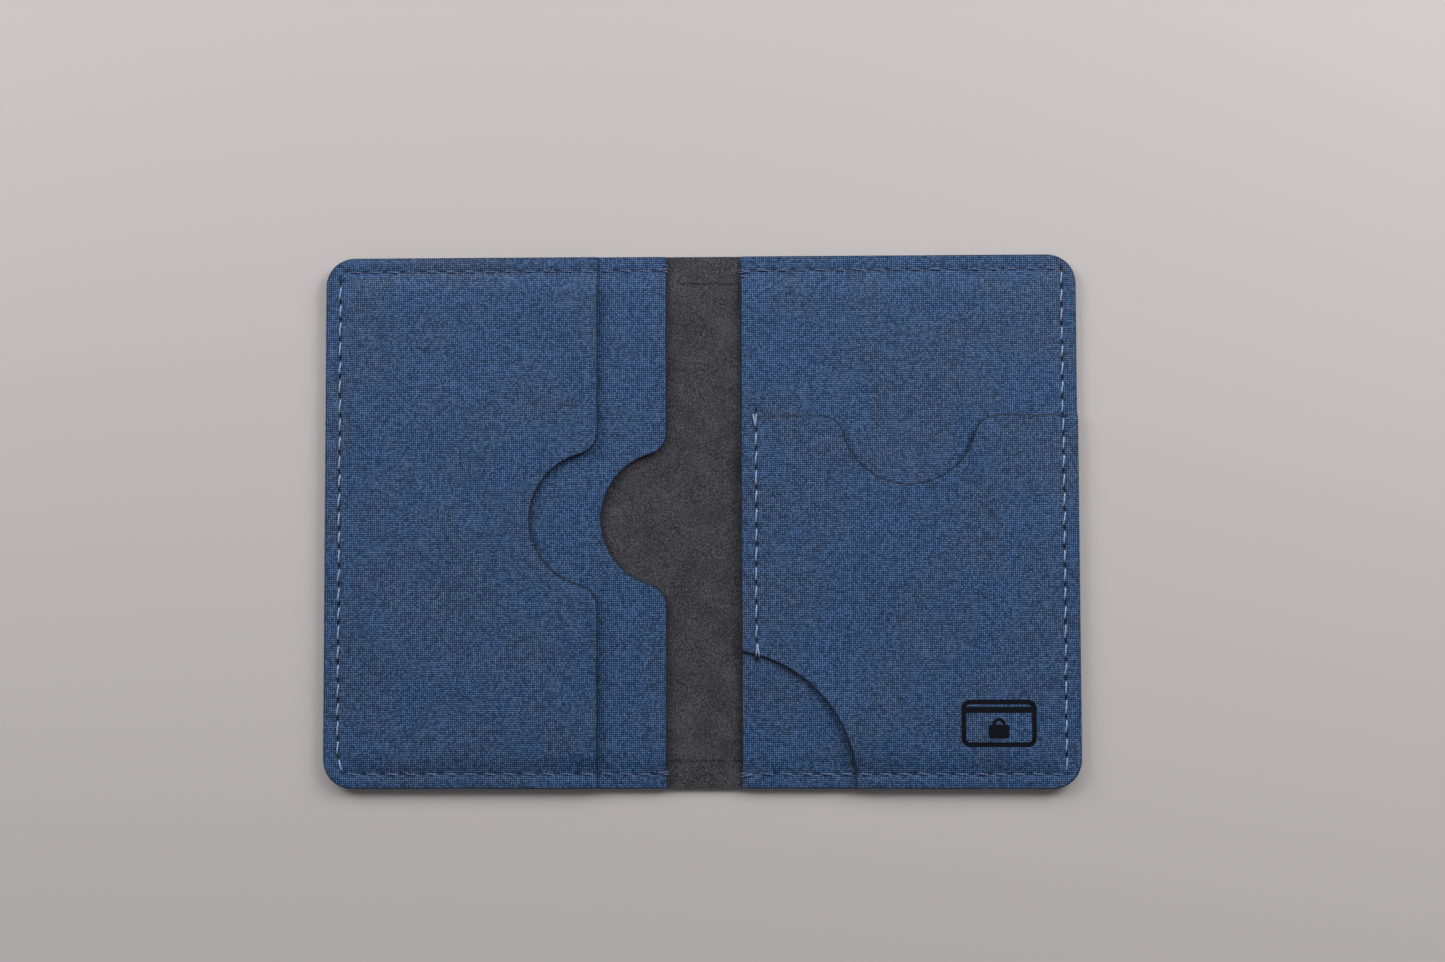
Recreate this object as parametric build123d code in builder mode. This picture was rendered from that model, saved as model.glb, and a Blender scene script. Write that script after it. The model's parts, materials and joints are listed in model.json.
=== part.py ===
"""A passport holder, open and flat: a folding cover, two passport sleeves, a front sleeve and a card pocket.

Frame: origin at the centre of the outer face that lies on the table, +X towards the right-hand cover,
+Y towards the top of the pages, +Z up out of the open inside. Millimetres.
"""

import os

from build123d import *

# ---------------------------------------------------------------- driving dimensions
open_width = 198.5  # both covers and the spine, laid flat
page_height = 140.0
corner_radius = 7.5

cover_thickness = 0.8  # woven-look coated fabric of the outside
shield_thickness = 0.1  # metallised foil against card readers
lining_thickness = 0.5  # suede-like lining of the inside, over the foil
sleeve_thickness = 0.7  # coated fabric of the sleeves and the pocket
pocket_gap = 0.25  # how far an empty pocket's sheet stands off what is under it
sewn_margin = 5.0  # width of the sheet that the stitching pulls down

left_mouth = -8.9  # open edge of the rear sleeve on the left cover
front_mouth = -27.1  # open edge of the front sleeve on the left cover
right_mouth = 11.05  # open edge of the sleeve on the right cover
card_pocket_top = 27.5

notch_radius = 18.0  # thumb notches, half round, centred on the open edge
notch_fillet = 5.8
notch_height = 0.5  # of the two side notches' centres above the middle of the page
notch_depth_front = 18.0
notch_depth_rear = 17.3
push_cut_radius = 35.8  # quarter round that bares the foot of a card
push_cut_centre = (5.2, -69.5)

seam_inset = 3.6  # from the outer edge to the stitching
pocket_seam_inset = 3.8  # from the card pocket's inner edge to its own stitching
stitch_pitch = 5.0
stitch_gap = 0.8  # from one stitch's end to the next one's start, round the needle hole
stitch_width = 0.5
stitch_height = 0.25
bobbin_height = 0.2
seam_groove_width = 1.0
seam_groove_depth = 0.25

spine_width = 5.6  # between the two lines that the soft spine bends at
cover_slit = 0.3  # at each of those lines, in the outer cover and the foil
lining_slit = 1.3  # wider, because the lining is on the inside of the bend
shield_inset = 7.0  # from the outer edges to the foil

mark_width = 19.6  # printed pictogram: a card with a padlock
mark_height = 12.2
mark_centre = (78.0, -53.1)
mark_thickness = 0.03
mark_line = 1.2
mark_corner = 2.2
stripe_height = 1.6
stripe_rise = 3.5  # from the pictogram's centre up to the stripe's
lock_drop = 2.1  # from the pictogram's centre down to the lock body's centre
lock_width = 5.4
lock_height = 3.6
lock_corner = 0.6
shackle_radius = 1.75
shackle_line = 0.8

tolerance = 0.01  # two places as close as this are one place

# ---------------------------------------------------------------- what follows from them
half_width = open_width / 2
half_height = page_height / 2
lining_base = cover_thickness
lining_top = cover_thickness + lining_thickness

first_sewn = lining_top  # undersides of the sheets above the lining
first_free = lining_top + pocket_gap
second_sewn = first_sewn + sleeve_thickness
second_free = first_free + sleeve_thickness + pocket_gap
pocket_side_sewn = first_free + sleeve_thickness
single_top = second_sewn  # where the stitches lie on one sheet, and on two
double_top = second_sewn + sleeve_thickness
pocket_side_top = pocket_side_sewn + sleeve_thickness
mark_base = second_free + sleeve_thickness

seam_x = half_width - seam_inset
seam_y = half_height - seam_inset
pocket_seam_x = right_mouth + pocket_seam_inset
push_cut_top = push_cut_centre[1] + (
    push_cut_radius**2 - (pocket_seam_x - push_cut_centre[0]) ** 2
) ** 0.5
push_cut_seam_x = push_cut_centre[0] + (
    push_cut_radius**2 - (seam_y + push_cut_centre[1]) ** 2
) ** 0.5

os.makedirs("parts", exist_ok=True)


def write(piece, name):
    """Labels a finished piece and writes its STEP file."""
    piece.part.label = name
    export_step(piece.part, f"parts/{name}.step")


def between(x_low, x_high, y_low, y_high, radius=0.0):
    """A rectangle given by its sides. A radius rounds all four corners."""
    with BuildSketch() as area:
        with Locations(((x_low + x_high) / 2, (y_low + y_high) / 2)):
            if radius:
                RectangleRounded(x_high - x_low, y_high - y_low, radius)
            else:
                Rectangle(x_high - x_low, y_high - y_low)
    return area.sketch


page = between(-half_width, half_width, -half_height, half_height, corner_radius)


def divided(slit):
    """The name and the low and high x of the left cover, the spine and the right cover, slits left out."""
    inner = (spine_width - slit) / 2
    outer = (spine_width + slit) / 2
    return [
        ("left", -half_width, -outer),
        ("spine", -inner, inner),
        ("right", outer, half_width),
    ]


# ---------------------------------------------------------------- cover, foil and lining
foil_area = between(
    -half_width + shield_inset,
    half_width - shield_inset,
    -half_height + shield_inset,
    half_height - shield_inset,
)


def seam_groove(mouth, seam):
    """The sunk line that the underside's stitches lie in, along three edges of one cover."""
    reach = seam_groove_width / 2
    low, high = sorted((mouth, seam))
    with BuildSketch() as groove:
        add(between(low, high, seam_y - reach, seam_y + reach))
        add(between(low, high, -seam_y - reach, -seam_y + reach))
        add(between(seam - reach, seam + reach, -seam_y - reach, seam_y + reach))
    return groove.sketch


seam_grooves = {
    "left": seam_groove(left_mouth, -seam_x),
    "right": seam_groove(right_mouth, seam_x),
}

for name, low, high in divided(cover_slit):
    with BuildPart() as outer_cover:
        with BuildSketch():
            add(page)
            add(between(low, high, -half_height, half_height), mode=Mode.INTERSECT)
        extrude(amount=cover_thickness)
        if name in seam_grooves:
            with BuildSketch():
                add(seam_grooves[name])
            extrude(amount=seam_groove_depth, mode=Mode.SUBTRACT)
    write(outer_cover, f"outer_cover_{name}")

for name, low, high in divided(cover_slit):
    with BuildPart() as shield:
        with BuildSketch(Plane.XY.offset(lining_base)):
            add(foil_area)
            add(between(low, high, -half_height, half_height), mode=Mode.INTERSECT)
        extrude(amount=shield_thickness)
    write(shield, f"shield_{name}")

for name, low, high in divided(lining_slit):
    with BuildPart() as lining:
        with BuildSketch(Plane.XY.offset(lining_base)):
            add(page)
            add(between(low, high, -half_height, half_height), mode=Mode.INTERSECT)
        extrude(amount=lining_thickness)
        with BuildSketch(Plane.XY.offset(lining_base)):
            add(foil_area)
        extrude(amount=shield_thickness, mode=Mode.SUBTRACT)
    write(lining, f"lining_{name}")


# ---------------------------------------------------------------- sleeves and card pocket
def layered_sheet(name, outline, zones):
    """A sheet of one thickness that lies at a different height in each of its zones."""
    with BuildPart() as sheet:
        for zone, height in zones:
            with BuildSketch(Plane.XY.offset(height)):
                add(outline)
                add(zone, mode=Mode.INTERSECT)
            extrude(amount=sleeve_thickness)
    write(sheet, name)


def notched(sheet_area, notch_centre):
    """A sheet's outline with a thumb notch in its open edge, rounded where it meets the edge."""
    with BuildSketch() as outline:
        add(sheet_area)
        with Locations(notch_centre):
            Circle(notch_radius, mode=Mode.SUBTRACT)
        shoulders = outline.vertices().filter_by(
            lambda corner: abs((Vector(corner) - Vector(*notch_centre)).length - notch_radius) < tolerance
        )
        fillet(shoulders, notch_fillet)
    return outline.sketch


def page_part(x_low, x_high, y_high=half_height):
    """The part of the page between two places across it, up to a height."""
    with BuildSketch() as outline:
        add(page)
        add(between(x_low, x_high, -half_height, y_high), mode=Mode.INTERSECT)
    return outline.sketch


def around(free):
    """Everything outside a zone: where the sheet is sewn down."""
    with BuildSketch() as sewn:
        Rectangle(2 * open_width, 2 * open_width)
        add(free, mode=Mode.SUBTRACT)
    return sewn.sketch


free_y = half_height - sewn_margin
free_x = half_width - sewn_margin

left_free = between(-free_x, 0, -free_y, free_y)
for name, mouth, notch_depth, sewn_height, free_height in (
    ("left_rear_sleeve", left_mouth, notch_depth_rear, first_sewn, first_free),
    ("left_front_sleeve", front_mouth, notch_depth_front, second_sewn, second_free),
):
    sleeve = notched(page_part(-half_width, mouth), (mouth + notch_radius - notch_depth, notch_height))
    layered_sheet(name, sleeve, [(around(left_free), sewn_height), (left_free, free_height)])

right_free = between(0, free_x, -free_y, free_y)
layered_sheet(
    "right_sleeve",
    page_part(right_mouth, half_width),
    [(around(right_free), first_sewn), (right_free, first_free)],
)

pocket_notch_centre = ((right_mouth + half_width) / 2, card_pocket_top)
with BuildSketch() as pocket_outline:
    add(notched(page_part(right_mouth, half_width, card_pocket_top), pocket_notch_centre))
    with Locations(push_cut_centre):
        Circle(push_cut_radius, mode=Mode.SUBTRACT)

pocket_side_free_x = pocket_seam_x + seam_inset
pocket_free = between(pocket_side_free_x, free_x, -free_y, half_height)
pocket_side = between(0, pocket_side_free_x, -half_height, half_height)
with BuildSketch() as pocket_sewn:
    add(around(pocket_free))
    add(pocket_side, mode=Mode.SUBTRACT)
layered_sheet(
    "card_pocket",
    pocket_outline.sketch,
    [
        (pocket_sewn.sketch, second_sewn),
        (pocket_free, second_free),
        (pocket_side, pocket_side_sewn),
    ],
)


# ---------------------------------------------------------------- stitching
def sew(name, runs, thickness, height=None):
    """One thread's visible stitches along straight runs, as separate solids.

    Each run is a start, an end and the height of the sewn surface. A height given here replaces that.
    """
    with BuildPart() as thread:
        for start, end, surface in runs:
            run = Vector(*end) - Vector(*start)
            count = round(run.length / stitch_pitch)
            turn = 90 if abs(run.Y) > abs(run.X) else 0
            steps = [Vector(*start) + run * ((i + 0.5) / count) for i in range(count)]
            with BuildSketch(Plane.XY.offset(surface if height is None else height)):
                with Locations([Location((step.X, step.Y, 0), (0, 0, turn)) for step in steps]):
                    SlotOverall(run.length / count - stitch_gap, stitch_width)
            extrude(amount=thickness)
    write(thread, name)


left_seam = [
    ((left_mouth, seam_y), (front_mouth, seam_y), single_top),
    ((front_mouth, seam_y), (-seam_x, seam_y), double_top),
    ((-seam_x, seam_y), (-seam_x, -seam_y), double_top),
    ((-seam_x, -seam_y), (front_mouth, -seam_y), double_top),
    ((front_mouth, -seam_y), (left_mouth, -seam_y), single_top),
]
right_seam = [
    ((right_mouth, seam_y), (seam_x, seam_y), single_top),
    ((seam_x, seam_y), (seam_x, card_pocket_top), single_top),
    ((seam_x, card_pocket_top), (seam_x, -seam_y), double_top),
    ((seam_x, -seam_y), (push_cut_seam_x, -seam_y), double_top),
    ((push_cut_seam_x, -seam_y), (right_mouth, -seam_y), single_top),
]
pocket_seam = [((pocket_seam_x, card_pocket_top), (pocket_seam_x, push_cut_top), pocket_side_top)]

sew("left_needle_thread", left_seam, stitch_height)
sew("right_needle_thread", right_seam, stitch_height)
sew("pocket_needle_thread", pocket_seam, stitch_height)
sew("left_bobbin_thread", left_seam, bobbin_height, seam_groove_depth - bobbin_height)
sew("right_bobbin_thread", right_seam, bobbin_height, seam_groove_depth - bobbin_height)
sew("pocket_bobbin_thread", pocket_seam, bobbin_height, first_free - bobbin_height)

# ---------------------------------------------------------------- printed pictogram
def shackle_area(centre):
    """The padlock's shackle: the upper half of a ring."""
    with BuildSketch() as shackle:
        with Locations(centre):
            Circle(shackle_radius)
            Circle(shackle_radius - shackle_line, mode=Mode.SUBTRACT)
            Rectangle(
                2 * shackle_radius,
                shackle_radius,
                align=(Align.CENTER, Align.MAX),
                mode=Mode.SUBTRACT,
            )
    return shackle.sketch


lock_centre = (mark_centre[0], mark_centre[1] - lock_drop)
with BuildPart() as printed_mark:
    with BuildSketch(Plane.XY.offset(mark_base)):
        with Locations(mark_centre):
            RectangleRounded(mark_width, mark_height, mark_corner)
            RectangleRounded(
                mark_width - 2 * mark_line,
                mark_height - 2 * mark_line,
                mark_corner - mark_line,
                mode=Mode.SUBTRACT,
            )
        with Locations((mark_centre[0], mark_centre[1] + stripe_rise)):
            Rectangle(mark_width - mark_line, stripe_height)
        with Locations(lock_centre):
            RectangleRounded(lock_width, lock_height, lock_corner)
        add(shackle_area((lock_centre[0], lock_centre[1] + lock_height / 2)))
    extrude(amount=mark_thickness)
write(printed_mark, "printed_mark")
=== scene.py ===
"""The looks of a passport holder that lies open: coated woven sheets sewn over a suede-like lining.

Lengths are in millimetres in the part's frame, and become metres when a mesh is made.
"""

import json
import math

import bmesh
import bpy
import numpy as np
from mathutils import Matrix, Vector
from mathutils.geometry import delaunay_2d_cdt


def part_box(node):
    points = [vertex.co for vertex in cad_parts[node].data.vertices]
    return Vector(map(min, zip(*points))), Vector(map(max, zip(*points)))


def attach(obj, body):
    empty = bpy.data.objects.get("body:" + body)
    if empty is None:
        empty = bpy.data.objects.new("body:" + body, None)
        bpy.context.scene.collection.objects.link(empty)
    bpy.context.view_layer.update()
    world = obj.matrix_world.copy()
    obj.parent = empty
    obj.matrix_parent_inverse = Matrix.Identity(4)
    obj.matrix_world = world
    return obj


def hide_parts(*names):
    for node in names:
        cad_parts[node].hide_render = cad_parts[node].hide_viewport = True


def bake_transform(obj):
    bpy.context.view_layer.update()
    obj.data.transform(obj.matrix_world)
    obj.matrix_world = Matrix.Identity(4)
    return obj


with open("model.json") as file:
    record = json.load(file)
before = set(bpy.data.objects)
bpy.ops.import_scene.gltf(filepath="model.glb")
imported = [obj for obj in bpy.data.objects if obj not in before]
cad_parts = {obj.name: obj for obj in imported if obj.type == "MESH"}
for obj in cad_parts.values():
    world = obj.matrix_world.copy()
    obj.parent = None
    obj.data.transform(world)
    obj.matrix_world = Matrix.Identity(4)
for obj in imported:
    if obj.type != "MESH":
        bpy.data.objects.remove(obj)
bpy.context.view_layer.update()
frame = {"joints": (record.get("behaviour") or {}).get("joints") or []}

MM = 0.001
X, Y, Z = range(3)
LOW, HIGH = range(2)


def edge(node, end, axis):
    """Where a CAD node begins (LOW) or ends (HIGH) along one axis."""
    return round(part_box(node)[end][axis] / MM, 3)


# ---------------------------------------------------------------- sizes from the frame
half_width = edge("outer_cover_right", HIGH, X)
half_height = edge("outer_cover_right", HIGH, Y)
cover_top = edge("shield_spine", LOW, Z)
foil_top = edge("shield_spine", HIGH, Z)
foil_x = edge("shield_right", HIGH, X)
foil_y = edge("shield_right", HIGH, Y)
lining_top = edge("lining_spine", HIGH, Z)
sleeve_thickness = edge("left_front_sleeve", LOW, Z) - edge("left_rear_sleeve", LOW, Z)
pocket_gap = edge("left_rear_sleeve", HIGH, Z) - lining_top - sleeve_thickness
left_mouth = edge("left_rear_sleeve", HIGH, X)
front_mouth = edge("left_front_sleeve", HIGH, X)
right_mouth = edge("right_sleeve", LOW, X)
pocket_top = edge("card_pocket", HIGH, Y)
mark_low = [edge("printed_mark", LOW, axis) for axis in (X, Y)]
mark_high = [edge("printed_mark", HIGH, axis) for axis in (X, Y)]
left_fold, right_fold = [joint["pos_m"][X] / MM for joint in frame["joints"]]
stitch_width = 0.5
seam_x = edge("right_needle_thread", HIGH, X) - stitch_width / 2
seam_y = edge("right_needle_thread", HIGH, Y) - stitch_width / 2

# ---------------------------------------------------------------- sizes of the real sheets and threads
corner_radius = 7.5
notch_radius = 18.0
notch_fillet = 5.8
notch_height = 0.5  # of the two side notches above the middle of the page
notch_depth_front = 18.0
notch_depth_rear = 17.3
push_cut_radius = 35.8
push_cut_centre = (5.2, -69.5)
pocket_seam_inset = 3.8
pocket_overhang = 0.15  # the card pocket was cut a little too wide
sewn_margin = 5.0
stitch_pitch = 5.0
hole_wander = 0.12  # how unevenly the needle holes lie along a seam, and across it
hole_drift = 0.05

coat = 0.25  # the coloured face's depth at a cut edge, over the dark backing
edge_radius = 0.15
edge_share = 0.35  # of a thin sheet's thickness, which its rounded edge may take up
coat_share = 0.5
rounding = 0.3  # place of the middle point of an edge's rounding, as a share of its radius
fray = 0.22  # how far a real sheet's dark cut edge reaches past the CAD's edge
backing_and_shadow_width = 0.36  # of the dark band along a sleeve's cut edge: the dark backing's colour, and painted shadow along the edge
rim_width = 0.5  # band along an edge where the mesh is fine
line_step = 1.2  # longest edges of the meshes
arc_step = 0.45
grid_step = 1.7
row_share = 0.87  # of that step, between two rows of the grid
seam_step = 0.42
seam_rows = (0.0, 0.22, 0.45, 0.8, 1.3, 2.1)  # to each side of a seam
seam_gap = 0.18  # under which two points of these rows count as one
rim_gap = 0.25  # from a sheet's fine rim to the points inside it
fold_step = 0.35
bend_reach = 1.4  # to each side of a fold line
sharp_angle = 60  # degrees, from which a mesh's edge looks sharp

layer_gap = 0.01  # between sheets that are sewn together
rise_width = 5.0  # over which a sheet rises from its seam to its free height
early_rise = 0.2  # share of that width by which the rise starts before the sewn margin ends
wave_height = 0.1
wave_length = 42.0
wave_count = 6
wave_spread = (0.6, 1.7)  # of how closely the waves follow each other
rear_lift = 0.35  # how far each free edge stands up
front_lift = 0.5
right_lift = 0.1
pocket_lift = 0.1
mouth_fade = 7.0
bulges = [  # where the card pocket stands off most: a place, a reach and a height
    ((72.0, 21.0), 8.0, 0.45),
    ((38.0, -56.0), 10.0, 0.35),
]
edge_drop = 0.12  # how far the outer rim is pressed down
edge_fade = 1.6
outer_rim_backing_and_shadow_cut = 0.6  # how much less of the cut edge's dark band, backing and painted shadow, shows at the outermost rim
seam_depth = 0.14  # how far a seam sinks, and how wide
seam_reach = 1.15
hole_depth = 0.4
hole_length = 0.9
hole_width = 0.32
shut = 0.5  # how open the holes of the seams across the page are, beside those up the page
upright = 0.9  # least share of y in the direction of a seam that runs up the page
groove_depth = 0.336  # of the sunk seam on the underside
groove_hole_depth = 0.12
underside_rise = 0.1  # of the outer face at the page's rim
bobbin_height = 0.36  # of the surface that the two long bobbin threads lie on, upside down
foil_step = 0.1  # how far the lining rises over the foil's edge, and how wide
foil_step_width = 0.6
lining_waves = (0.03, 9.0)  # height and length
lining_drop = 0.06

slant = 0.2  # sideways, from a stitch's middle to its end
stitch_rise = 0.16
stitch_sink = 0.45
stitch_fullness = 2.4  # how soon a stitch rises to its full height: 2 is a parabola
stitch_start = 0.65  # from a hole's middle to where the thread comes out of it
ply_radius = 0.115
ply_offset = 0.11
ply_pitch = 1.5
ply_count = 3
ply_sides = 6
ply_shade = 0.1  # how far two stitches' plies differ in shade
stitch_points = 15
most_slant = 0.4  # sideways run of a stitch that still runs up the page, as a share of its upward run
lean_spread = (0.6, 1.3)  # between one stitch and another
rise_spread = (-0.03, 0.05)
mouth_reach = 1.6  # of the last stitch past a mouth's edge
drape = 0.7  # width over which that stitch falls to the sheet below
tack_spread = 0.9  # between the two stitches that are sewn over each other at a seam's end
tack_rise = 0.16
third_tack = (0.3, 0.85, 2.0, 1.5)  # along its stitch from and to, and how far beside, in tack spreads
upper_cut = (1.5, 2.8)  # along x and y, of the stitch that cuts the left seam's upper corner
lower_cut = (1.6, 4.5)

card_line = 1.2  # the printed card: its outline's width, its corner and its stripe
card_corner = 2.2
stripe_rise = 3.5  # from the card's middle up to the stripe's
stripe_height = 1.6
lock_drop = 2.1  # from the card's middle down to the padlock's
lock_width = 5.4
lock_height = 3.6
lock_corner = 0.6
shackle_radius = 1.75
shackle_line = 0.8
shackle_sink = 0.05  # so that the shackle and the body overlap
ink_height = 0.05

free_x = half_width - sewn_margin
free_y = half_height - sewn_margin
pocket_seam_x = right_mouth + pocket_seam_inset
pocket_free_x = pocket_seam_x + half_width - seam_x


# ---------------------------------------------------------------- outlines
def turn(centre, radius, start, end):
    """Points of an arc between two angles in degrees, anticlockwise where the end is larger."""
    count = max(4, math.ceil(abs(math.radians(end - start)) * radius / arc_step))
    angles = np.radians(np.linspace(start, end, count + 1))
    return [(centre[X] + radius * math.cos(a), centre[Y] + radius * math.sin(a)) for a in angles]


def notch(depth):
    """A thumb notch, upwards, in the edge x = 0 of a sheet that lies on the side of negative x."""
    centre = notch_radius - depth
    height = math.sqrt((notch_radius + notch_fillet) ** 2 - (centre + notch_fillet) ** 2)
    angle = math.degrees(math.atan2(height, centre + notch_fillet))
    return [
        *turn((-notch_fillet, -height), notch_fillet, 0, angle),
        *turn((centre, 0), notch_radius, 180 + angle, 180 - angle)[1:-1],
        *turn((-notch_fillet, height), notch_fillet, -angle, 0),
    ]


def page_corner(x_side, y_side, start, overhang=0.0):
    """One rounded outer corner of the page, anticlockwise."""
    centre = (
        x_side * (half_width + overhang - corner_radius),
        y_side * (half_height - corner_radius),
    )
    return turn(centre, corner_radius, start, start + 90)


def left_page(mouth, cut=()):
    """Outline of a sheet from the left outer edge to its mouth, where a cut's points can go in between."""
    return [
        (mouth, -half_height),
        *cut,
        (mouth, half_height),
        *page_corner(-1, 1, 90),
        *page_corner(-1, -1, 180),
    ]


def right_page(mouth):
    """Outline of a sheet from its mouth to the right outer edge."""
    return [(mouth, half_height), (mouth, -half_height), *page_corner(1, -1, 270), *page_corner(1, 1, 0)]


def left_sleeve(mouth, depth):
    """Outline of a sleeve on the left cover, with its thumb notch."""
    return left_page(mouth, [(mouth + x, notch_height + y) for x, y in notch(depth)])


def card_pocket():
    """Outline of the card pocket: a notch in its top edge, and a quarter round cut off its inner foot."""
    cut_x, cut_y = push_cut_centre
    side_angle = math.degrees(math.acos((right_mouth - cut_x) / push_cut_radius))
    foot_angle = math.degrees(math.asin((-half_height - cut_y) / push_cut_radius))
    middle = (right_mouth + half_width) / 2
    return [
        *turn(push_cut_centre, push_cut_radius, side_angle, foot_angle),
        *page_corner(1, -1, 270, pocket_overhang),
        (half_width + pocket_overhang, pocket_top),
        *[(middle - y, pocket_top + x) for x, y in notch(notch_radius)],
        (right_mouth, pocket_top),
    ]


def foil(x_side):
    """Outline of one half of the foil."""
    corners = [(0, -foil_y), (foil_x, -foil_y), (foil_x, foil_y), (0, foil_y)]
    if x_side > 0:
        return corners
    return [(-x, y) for x, y in reversed(corners)]


def subdivided(outline):
    """A closed outline with no edge longer than line_step."""
    points = []
    for start, end in zip(outline, [*outline[1:], outline[0]]):
        length = math.dist(start, end)
        if length < 1e-6:
            continue
        count = max(1, round(length / line_step))
        points += [
            (start[X] + (end[X] - start[X]) * i / count, start[Y] + (end[Y] - start[Y]) * i / count)
            for i in range(count)
        ]
    return np.array(points)


# ---------------------------------------------------------------- seams
def heading_of(start, end):
    """The direction from one place to another, and the one across it to the left."""
    along = (end - start) / np.linalg.norm(end - start)
    return along, np.array([-along[Y], along[X]])


def sewn_line(corners, seed):
    """A seam along straight runs: its runs, its needle holes, and the direction of sewing at each hole."""
    random = np.random.default_rng(seed)
    holes, directions = [], []
    corners = np.array(corners)
    runs = list(zip(corners, corners[1:]))
    for start, end in runs:
        count = max(1, round(np.linalg.norm(end - start) / stitch_pitch))
        direction, across = heading_of(start, end)
        for i in range(count):
            wander = 0 if i == 0 else random.normal(0, hole_wander)
            drift = random.normal(0, hole_drift)
            holes.append(start + (end - start) * i / count + direction * wander + across * drift)
            directions.append(direction)
    holes.append(corners[-1])
    directions.append(direction)
    return {"runs": runs, "holes": np.array(holes), "directions": np.array(directions)}


def run_distance(points, start, end):
    """Distance of each point from one straight run."""
    run = end - start
    share = np.clip(((points - start) @ run) / (run @ run), 0, 1)
    return np.linalg.norm(points - start - share[:, None] * run, axis=1)


def seam_distance(points, seam):
    """Distance of each point from the nearest of a seam's runs."""
    return np.min([run_distance(points, *run) for run in seam["runs"]], axis=0)


def seam_pull(points, seam):
    """1 on a seam, and 0 well away from it."""
    return np.exp(-((seam_distance(points, seam) / seam_reach) ** 2))


def needle_holes(points, seam):
    """1 at each needle hole, which the thread draws out lengthways, and 0 away from it."""
    away = points[:, None, :] - seam["holes"][None, :, :]
    along = (away * seam["directions"]).sum(axis=2)
    across = (away * (seam["directions"][:, ::-1] * (-1, 1))).sum(axis=2)
    away = (along / hole_length) ** 2 + (across / hole_width) ** 2
    open_wide = np.where(abs(seam["directions"][:, Y]) > upright, 1.0, shut)
    return (open_wide * np.exp(-away)).max(axis=1)


def seam_points(seam):
    """Rows of points along a seam, close enough together to carry its holes."""
    points = []
    for start, end in seam["runs"]:
        direction, across = heading_of(start, end)
        steps = np.arange(-seam_rows[-1], np.linalg.norm(end - start) + seam_rows[-1], seam_step)
        for row in (*[-r for r in seam_rows[1:]], *seam_rows):
            points.append(start + steps[:, None] * direction + row * across)
    return np.concatenate(points)


top_y, foot_y = seam_y, -seam_y
left_seam = sewn_line(
    [
        (left_mouth + mouth_reach, top_y),
        (front_mouth, top_y),
        (-seam_x + upper_cut[X], top_y),
        (-seam_x, top_y - upper_cut[Y]),
        (-seam_x, foot_y + lower_cut[Y]),
        (-seam_x + lower_cut[X], foot_y),
        (front_mouth, foot_y),
        (left_mouth + mouth_reach, foot_y),
    ],
    seed=3,
)
push_cut_seam_x = push_cut_centre[X] + math.sqrt(push_cut_radius**2 - (foot_y - push_cut_centre[Y]) ** 2)
right_seam = sewn_line(
    [
        (right_mouth - mouth_reach, top_y),
        (seam_x, top_y),
        (seam_x, pocket_top),
        (seam_x, foot_y),
        (push_cut_seam_x, foot_y),
        (right_mouth - mouth_reach, foot_y),
    ],
    seed=5,
)
push_cut_top = push_cut_centre[Y] + math.sqrt(
    push_cut_radius**2 - (pocket_seam_x - push_cut_centre[X]) ** 2
)
pocket_seam = sewn_line(
    [(pocket_seam_x, pocket_top + mouth_reach), (pocket_seam_x, push_cut_top - mouth_reach)],
    seed=7,
)


# ---------------------------------------------------------------- heights of the stacked sheets
def smooth(share):
    """0 below 0, 1 above 1, and a smooth rise between."""
    share = np.clip(share, 0, 1)
    return share * share * (3 - 2 * share)


def waves(points, seed, length=wave_length):
    """Slow random waves between about -1 and 1."""
    random = np.random.default_rng(seed)
    total = np.zeros(len(points))
    for _ in range(wave_count):
        heading, phase = random.uniform(0, 2 * math.pi, 2)
        number = 2 * math.pi / length * random.uniform(*wave_spread)
        along = points[:, X] * math.cos(heading) + points[:, Y] * math.sin(heading)
        total += np.sin(number * along + phase)
    return total / wave_count * 2


def page_rim(points):
    """1 at the page's outer edge, and 0 well inside it."""
    inside = np.minimum(half_width - abs(points[:, X]), half_height - abs(points[:, Y]))
    return np.exp(-np.maximum(inside, 0) / edge_fade)


def left_inside(points):
    """How far a point is inside the part of a left sleeve that isn't sewn down."""
    return np.minimum(free_y - abs(points[:, Y]), points[:, X] + free_x)


def right_inside(points):
    """The same for the right sleeve."""
    return np.minimum(free_y - abs(points[:, Y]), free_x - points[:, X])


def pocket_inside(points):
    """The same for the card pocket, which is sewn on three sides."""
    sides = np.minimum(free_x - points[:, X], points[:, X] - pocket_free_x)
    return np.minimum(sides, points[:, Y] + free_y)


def resting(below, inside, beyond_mouth, mouth_lift, seed):
    """Underside of a sheet that is sewn to the surface below it, and stands off inside its seams."""

    def underside(points):
        rise = smooth(inside(points) / rise_width + early_rise)
        lift = mouth_lift * np.exp(-np.maximum(-beyond_mouth(points), 0) / mouth_fade)
        return below(points) + layer_gap + rise * (pocket_gap + wave_height * waves(points, seed) + lift)

    return underside


def bulging(underside):
    """The card pocket's underside, with the places where it stands off most."""

    def raised(points):
        rise = smooth(pocket_inside(points) / rise_width)
        away = [np.linalg.norm(points - place, axis=1) / reach for place, reach, _ in bulges]
        return underside(points) + rise * sum(
            height * np.exp(-distance**2) for distance, (_, _, height) in zip(away, bulges)
        )

    return raised


def drawn_down(underside, thickness, seams):
    """Upper face of a sheet, drawn down along its seams and pressed at the page's rim."""

    def face(points):
        pull = sum(seam_depth * seam_pull(points, seam) for seam in seams)
        return underside(points) + thickness - pull - edge_drop * page_rim(points)

    return face


def flat_at(height):
    """A flat surface."""
    return lambda points: np.full(len(points), float(height))


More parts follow.
